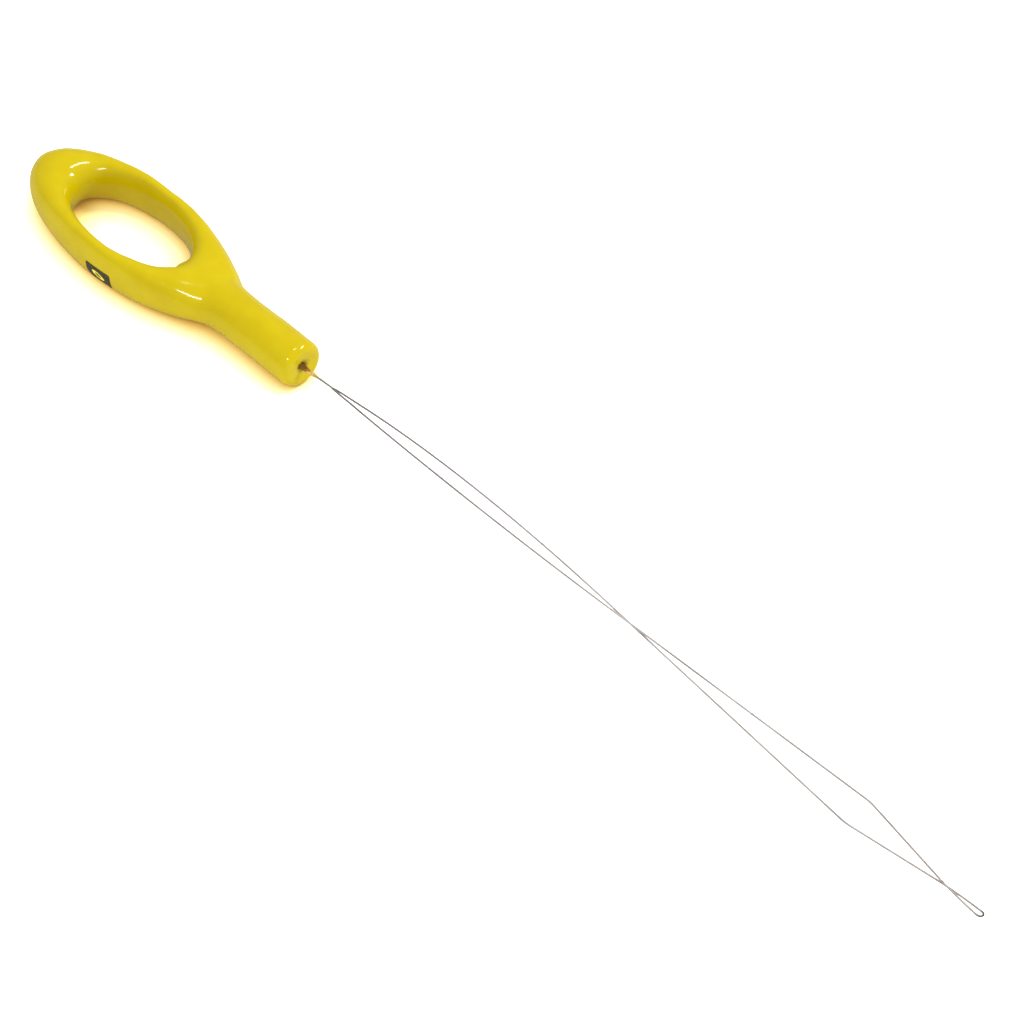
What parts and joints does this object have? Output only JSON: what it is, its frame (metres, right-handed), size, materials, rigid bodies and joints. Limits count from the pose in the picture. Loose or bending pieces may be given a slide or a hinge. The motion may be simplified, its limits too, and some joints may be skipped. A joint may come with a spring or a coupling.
{
  "type": "needle threader",
  "caption": "Long wire-loop needle threader: yellow coated ring handle with a folded fine steel wire that ends in a squeezable diamond eye.",
  "frame": {"origin": "on the tool's axis, at the middle of the neck's straight round wall", "axes": "+X along the wire to its tip, +Z normal to the flat of the ring, +Y to the left"},
  "size_m": [0.1567, 0.0144, 0.006],
  "materials": {
    "core_metal": "cast",
    "yellow_coating": "glossy dipped coating",
    "badge_print": "printed",
    "amber_adhesive": "glossy cured adhesive",
    "spring_steel_wire": "drawn wire"
  },
  "bodies": {
    "handle": {"handle_core": "core_metal", "handle_coating": "yellow_coating", "badge": "badge_print", "adhesive_plug": "amber_adhesive", "wire_ends": "spring_steel_wire"},
    "wire_root": {"wire_root": "spring_steel_wire"},
    "wire_span_rear": {"wire_span_rear": "spring_steel_wire"},
    "wire_span_front": {"wire_span_front": "spring_steel_wire"},
    "wire_crossing": {"wire_crossing": "spring_steel_wire"},
    "eye_leg_a_long": {"eye_leg_a_long": "spring_steel_wire"},
    "eye_leg_b_long": {"eye_leg_b_long": "spring_steel_wire"},
    "eye_leg_a_short": {"eye_leg_a_short": "spring_steel_wire"},
    "eye_leg_b_short": {"eye_leg_b_short": "spring_steel_wire"},
    "tip_bend": {"tip_bend": "spring_steel_wire"}
  },
  "joints": [
    {"name": "wire_swing", "type": "hinge", "parent": "handle", "child": "wire_root", "pos_m": [0.0103, 0.00015, 0], "axis": [0, 0, 1], "range_deg": [-20, 20], "stiffness_Nm_per_rad": 0.001},
    {"name": "wire_flex", "type": "hinge", "parent": "wire_root", "child": "wire_span_rear", "pos_m": [0.0204, 0.00048, 0], "axis": [0, 1, 0], "range_deg": [-18, 18], "stiffness_Nm_per_rad": 0.001},
    {"name": "wire_flex_middle", "type": "hinge", "parent": "wire_span_rear", "child": "wire_span_front", "pos_m": [0.0374, 0.00055, 0], "axis": [0, 1, 0], "range_deg": [-15.13, 15.13]},
    {"name": "wire_flex_front", "type": "hinge", "parent": "wire_span_front", "child": "wire_crossing", "pos_m": [0.0544, 0.00022, 0], "axis": [0, 1, 0], "range_deg": [-12.07, 12.07]},
    {"name": "eye_squeeze", "type": "hinge", "parent": "wire_crossing", "child": "eye_leg_a_long", "pos_m": [0.0625, 0, 0.00014], "axis": [0, 0, -1], "range_deg": [-2, 3.1], "stiffness_Nm_per_rad": 0.0002},
    {"name": "eye_squeeze_b", "type": "hinge", "parent": "wire_crossing", "child": "eye_leg_b_long", "pos_m": [0.0625, 0, -0.00014], "axis": [0, 0, 1], "range_deg": [-2.01, 3.11]},
    {"name": "kink_a", "type": "hinge", "parent": "eye_leg_a_long", "child": "eye_leg_a_short", "pos_m": [0.0967, 0.00097, 0.00014], "axis": [0, 0, 1], "range_deg": [-8.25, 12.78]},
    {"name": "kink_b", "type": "hinge", "parent": "eye_leg_b_long", "child": "eye_leg_b_short", "pos_m": [0.0966, -0.00285, -0.00014], "axis": [0, 0, -1], "range_deg": [-8.25, 12.78]},
    {"name": "tip_turn", "type": "hinge", "parent": "eye_leg_a_short", "child": "tip_bend", "pos_m": [0.10761, -0.00101, 0.00014], "axis": [0, 0, -1], "range_deg": [-6.25, 9.68]}
  ],
  "couplings": [
    {"joint": "wire_flex_middle", "follows": "wire_flex", "ratio": 0.84},
    {"joint": "wire_flex_front", "follows": "wire_flex", "ratio": 0.67},
    {"joint": "eye_squeeze_b", "follows": "eye_squeeze", "ratio": 1},
    {"joint": "kink_a", "follows": "eye_squeeze", "ratio": 4.1187},
    {"joint": "kink_b", "follows": "eye_squeeze", "ratio": 4.1187},
    {"joint": "tip_turn", "follows": "eye_squeeze", "ratio": 3.1187}
  ]
}
